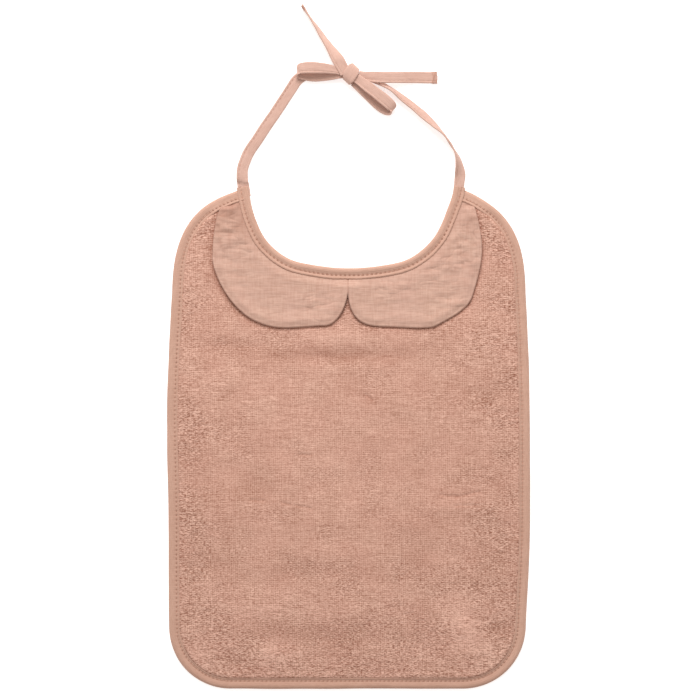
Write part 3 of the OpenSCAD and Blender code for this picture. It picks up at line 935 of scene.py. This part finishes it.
# Places where the pile is painted lighter or darker, partly its own uneven tone and partly painted light and
# shade: painted shade on the band below the collar with painted light just above it, painted light on the
# hills and painted shade in the hollows listed above: middle x and y, reach along x and along y in
# millimetres, tone
TONE_AND_SHADE_PATCHES = [
    (-11, 56.6, 53, 4.8, -0.17), (-9, 67.2, 42, 4.6, 0.1), (-105, -150, 12, 12, 0.1),
    (98, -150, 12, 12, 0.1), (-112, 100, 8, 30, 0.06), (-40, -134, 30, 6, -0.04), (-75, 64, 30, 4, -0.07),
    (52, 62, 22, 4, -0.05), (-92, 40, 14, 7, 0.07), (-78, 32, 10, 4, -0.04), (-61, 21, 11, 8, 0.07),
    (12.5, 27.5, 4, 5, -0.07), (95, 30, 18, 9, -0.08), (90, 60, 18, 10, 0.05), (-50, 0, 16, 9, -0.04),
    (-16, -10, 20, 18, 0.03), (-106, -16, 8, 10, -0.06), (-98, -40, 11, 8, -0.09),
    (-65, -32, 10, 12, -0.09), (-39, -54, 8, 7, -0.07), (-85, -57, 10, 7, -0.06), (-90, -86, 18, 9, -0.08),
    (-20, -94, 40, 7, -0.07), (50, -80, 13, 16, -0.07), (98, -83, 14, 8, -0.08), (104, -30, 7, 10, -0.06),
    (-62, -115, 26, 7, 0.05), (-15, -136, 45, 9, -0.09), (78, -127, 11, 12, 0.18), (84, -143, 10, 7, 0.12),
    (104, -132, 8, 7, -0.12), (-54, -149, 9, 7, 0.15), (-78, -153, 9, 6, -0.08), (55, -118, 10, 8, -0.05),
]

# Short creases in millimetres: both ends, width, depth
CREASES = [
    ((63, -39), (74, -40.5), 1, 0.4), ((74, -40.5), (90, -37), 1, 0.4),
    ((73, -46.5), (90, -46.5), 0.9, 0.4), ((-68, -43), (-58, -43), 0.9, 0.4),
    ((-46, -44), (-40, -46), 0.9, 0.4), ((-36, -46), (-26, -49), 0.9, 0.4),
    ((-34, -11.5), (-26, -11.5), 0.9, 0.4), ((11, 29), (16, 25.5), 0.9, 0.4),
]


def undulation(x, y):
    """The slow ups and downs of the whole panel."""
    z = 0.0004 * noise(x, y, 0.045, 0.024, 51) + 0.0002 * noise(x, y, 0.02, 0.01, 52)
    for cx, cy, rx, ry, height in np.array(MOUNDS) * MM:
        z = z + height * bump(x, cx, rx) * bump(y, cy, ry)
    return z


def pressed(points):
    """Two fields over the terry: 1 along the collar's free edges, where the terry is grooved and painted with
    shade, and 1 all over the ground it covers.
    """
    edge_groove_and_shade, cover = np.zeros(len(points)), np.zeros(len(points))
    for side in LEAF_EDGES:
        edge = leaf_edge(side, 12) * np.array([-side, 1])
        near = np.flatnonzero((points[:, 1] > 0.068) & (points[:, 0] * side > -0.006))
        away, _ = distance_to(edge, points[near])
        x, y = points[near].T
        # Groove and painted shade along the free edge, reaching further out on the left of the bib.
        edge_groove_and_shade[near] = np.maximum(edge_groove_and_shade[near], 1 - ramp(away, 0.0004, 0.0032 + 0.0032 * ramp(-x, 0.045, 0.072)))
        inside = np.zeros(len(near), bool)
        outline = np.vstack([edge, [(0, 0.2)], edge[:1]])
        for p, q in zip(outline[:-1], outline[1:]):
            if p[1] != q[1]:
                across = p[0] + (y - p[1]) * (q[0] - p[0]) / (q[1] - p[1])
                inside ^= ((p[1] > y) != (q[1] > y)) & (across < x)
        tucked = ramp(y, 0.145, 0.155)
        covered = inside * ramp(away, 0.003 - 0.0028 * tucked, 0.008 - 0.006 * tucked)
        cover[near] = np.maximum(cover[near], covered)
    return edge_groove_and_shade, cover


def sagging(edge, swell, gap):
    """How far a panel's underside hangs below its level at the rim, as a negative height."""
    return ramp(edge, 0.007, 0.02) * (np.clip(swell, -0.0008, 0) * 0.5 - gap)


def build_panels():
    points, quads, edge = panel(0.00065, PANEL_INSET)
    x, y = points.T
    swell = undulation(x, y)
    crease = np.zeros(len(x))
    for a, b, width, depth in CREASES:
        line = np.array([a, b]) * MM
        middle = line.mean(0)
        near = np.flatnonzero((np.abs(x - middle[0]) < 0.03) & (np.abs(y - middle[1]) < 0.01))
        wobble = 0.0006 * noise(x[near], y[near], 0.004, 0.003, 50)
        away, _ = distance_to(line, points[near] + wobble[:, None])
        crease[near] -= depth * MM * bump(away, 0, width * MM)
    patch = ramp(noise(x, y, 0.018, 0.013, 53) + 0.5 * noise(x, y, 0.008, 0.006, 54), -0.3, 0.8)
    near = 1 - ramp(edge, 0.006, 0.05)
    low = ramp(-y, 0.06, 0.13)
    rough = np.clip(0.3 * patch + near * (0.35 + 0.55 * patch) + 0.7 * low * (0.5 + 0.5 * patch), 0, 1)
    tuft = noise(x, y, 0.0034, 0.0015, 55)
    fissure = (1 - np.abs(noise(x, y, 0.005, 0.0022, 57))) ** 6
    relief = (0.05 + rough) * (0.00013 * tuft - 0.00014 * fissure)
    held = ramp(edge, 0.0054, 0.0064)
    bulge = 0.00015 * bump(edge, 0.008, 0.0018)
    edge_groove_and_shade, cover = pressed(points)
    top = terry_top + 0.0001 + held * (0.0005 + swell + crease + relief) + bulge - 0.0004 * edge_groove_and_shade
    top = np.where(edge < 0.0056, np.minimum(top, binding_top - 0.0014), top)
    top = np.minimum(top, top + cover * (PRESSED_TOP - top))
    under = np.minimum(terry_bottom + sagging(edge, swell, 0.0001), top - 0.0006)
    wx = x + 0.003 * noise(x, y, 0.009, 0.008, 60) + 0.0012 * noise(x, y, 0.0035, 0.003, 61)
    wy = y + 0.0024 * noise(x, y, 0.009, 0.008, 62) + 0.001 * noise(x, y, 0.0035, 0.003, 63)
    tone_and_shade = 0.51 + 0.045 * noise(x, y, 0.016, 0.012, 64) + 0.026 * noise(x, y, 0.0065, 0.005, 65)
    # Painted shade along the collar's free edges; a little lighter towards the bottom.
    tone_and_shade = tone_and_shade - 0.26 * edge_groove_and_shade + 0.03 * ramp(-y, 0.07, 0.12)
    # Patches of the pile's own tone and of painted light and shade.
    for *place, amount in TONE_AND_SHADE_PATCHES:
        cx, cy, rx, ry = np.array(place) * MM
        tone_and_shade = tone_and_shade + TONE_AND_SHADE_GAIN * amount * bump(wx, cx, rx) * bump(wy, cy, ry)
    # Painted light on the tufts and painted shade in the fissures and creases.
    tone_and_shade = tone_and_shade + rough * (0.07 * tuft - 0.09 * fissure) + crease * 300
    front = panel_piece("front_terry", points, quads, top, under, TERRY, "front_terry_panel",
                        {"rough": rough, "tone_and_shade": tone_and_shade})

    points, quads, edge = panel(0.0025, PANEL_INSET)
    drop = sagging(edge, undulation(*points.T), 0.00012)
    back = panel_piece("back_lining", points, quads, terry_bottom - 0.00006 + drop,
                       terry_bottom - 0.0004 + drop, LINING, "back_lining_panel", {})


# ---- collar


def leaf_plan(side, rows, columns, edge_in):
    """Plan points of one leaf, drawn as the left one: columns run from the neck seam to the free edge."""
    neck = neck_edge if side < 0 else mirrored(neck_edge)
    neck = neck[neck[:, 0] < 0.001]
    edge = resample(leaf_edge(side, 30), count=columns)
    seam = neck - inward(neck) * (NECK_WIDTH - 0.0022)
    seam = seam[(seam[:, 1] < edge[0, 1]) & (seam[:, 0] < edge[-1, 0])]
    seam = resample(np.vstack([edge[:1], seam, edge[-1:]]), count=columns)
    outward = inward(edge)
    edge = edge + outward * edge_in
    v = np.linspace(0, 1, rows)[None, :, None]
    return seam[:, None] * (1 - v) + edge[:, None] * v, edge, seam, -outward


def leaf_height(x, y, plan, edge, seam, seed):
    """Height of the leaf's upper face: low at the seam, puckered in the middle, proud at its edge."""
    flat = plan.reshape(-1, 2)
    from_edge = distance_to(edge[::2], flat)[0].reshape(x.shape)
    from_seam = distance_to(seam[::2], flat)[0].reshape(x.shape)
    crinkle = noise(x, y, 0.0095, 0.004, seed) + 0.35 * noise(x, y, 0.0045, 0.0022, seed + 1)
    patch = ramp(noise(x, y, 0.024, 0.018, seed + 2) + 1.0 * ramp(y, 0.11, 0.14), -0.3, 0.8)
    fold = (1 - np.abs(noise(x, y, 0.009, 0.0052, seed + 3))) ** 7
    relief = (0.00018 + 0.0002 * patch) * crinkle - 0.00032 * fold * (0.2 + 0.8 * patch)
    pinch = (1 - np.abs(noise(x, y, 0.0075, 0.0042, seed + 7))) ** 5
    pucker = noise(x, y, 0.006, 0.0036, seed + 6) - 0.8 * pinch
    relief = relief + 0.00038 * patch * pucker + 0.00005 * noise(x, y, 0.0026, 0.0015, seed + 5)
    lift = 0.0012 * (1 - ramp(from_edge, 0.002, 0.012)) * (1 + 0.35 * noise(x, y, 0.03, 0.03, seed + 4))
    lift = lift - 0.0006 * (1 - ramp(from_edge, 0.0, 0.0042))
    lift = lift + 0.001 * bump(x, 0, 0.009) * (1 - ramp(from_edge, 0.001, 0.009))
    rise = ramp(from_seam, 0.0012, 0.008)
    corner = ramp(y, 0.156, 0.16) * (1 - ramp(from_edge, 0.0035, 0.008))
    z = LEAF_BASE + rise * (0.0014 + relief * ramp(from_seam, 0.002, 0.008) + lift)
    return z - corner * (z - LEAF_CORNER)


def turned_edge(grid, outward, roll, drop):
    """Adds rows that roll the upper layer round the leaf's free edge and a little way back."""
    last = grid[:, -1]
    turn = ((0.35, 0.1), (0.7, 0.32), (0.85, 0.62), (0.75, 0.9), (0.4, 1.08), (-1.0, 1.12))
    rows = [last + np.column_stack([outward * roll * forward, np.full(len(last), -drop * down)])
            for forward, down in turn]
    return np.concatenate([grid, np.stack(rows, 1)], 1)


def build_leaf(side, seed):
    """Upper and under layers of one collar leaf. side is -1 for the left, 1 for the right."""
    name = "left_collar" if side < 0 else "right_collar"
    flip = np.array([-float(side), 1, 1])
    made = []
    for layer, rows, columns, edge_in, sink, nodes in (
        ("upper", 110, 260, 0.0005, 0.0, [name + "_upper_layer"]),
        ("under", 60, 150, 0.0014, 0.00085, [name + "_under_layer", name + "_seam_edge"]),
    ):
        plan, edge, seam, outward = leaf_plan(side, rows, columns, edge_in)
        z = leaf_height(plan[..., 0] * flip[0], plan[..., 1], plan, edge, seam, seed) - sink
        grid = np.concatenate([plan, z[..., None]], -1)
        if layer == "upper":
            grid = turned_edge(grid, outward, 0.0008, 0.0012)
        grid = grid * flip
        if side > 0:
            grid = grid[::-1]
        verts, faces = thick_sheet(grid, GAUZE)
        x, y = verts[:, 0], verts[:, 1]
        # Painted shade: darker towards the neck, the left leaf more, and along a network of fold valleys.
        shade = ramp(y, 0.125, 0.158) * (1 + 0.6 * noise(x, y, 0.012, 0.007, seed + 8))
        fold_shade = 0.24 * (1 - np.abs(noise(x, y, 0.0085, 0.006, seed + 9))) ** 6
        fold_shade = fold_shade * (0.35 + 0.65 * ramp(y, 0.1, 0.135))
        shade = np.clip(shade * NECK_SHADE[side] + fold_shade, 0, 1)
        piece = new_piece(f"{name}_{layer}", verts, faces, MUSLIN, None, {"shade": shade})
        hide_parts(*nodes)
        made.append((piece, grid))
    hinge = joint[name + "_flip"]
    outward = np.cross((0, 0, 1), hinge["axis"])
    outward = outward if outward[1] < 0 else -outward
    for piece, grid in made:
        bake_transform(piece)


# ---- the scene

set_stage()
build_ties()
build_bindings()
build_panels()
build_leaf(-1, 71)
build_leaf(1, 81)
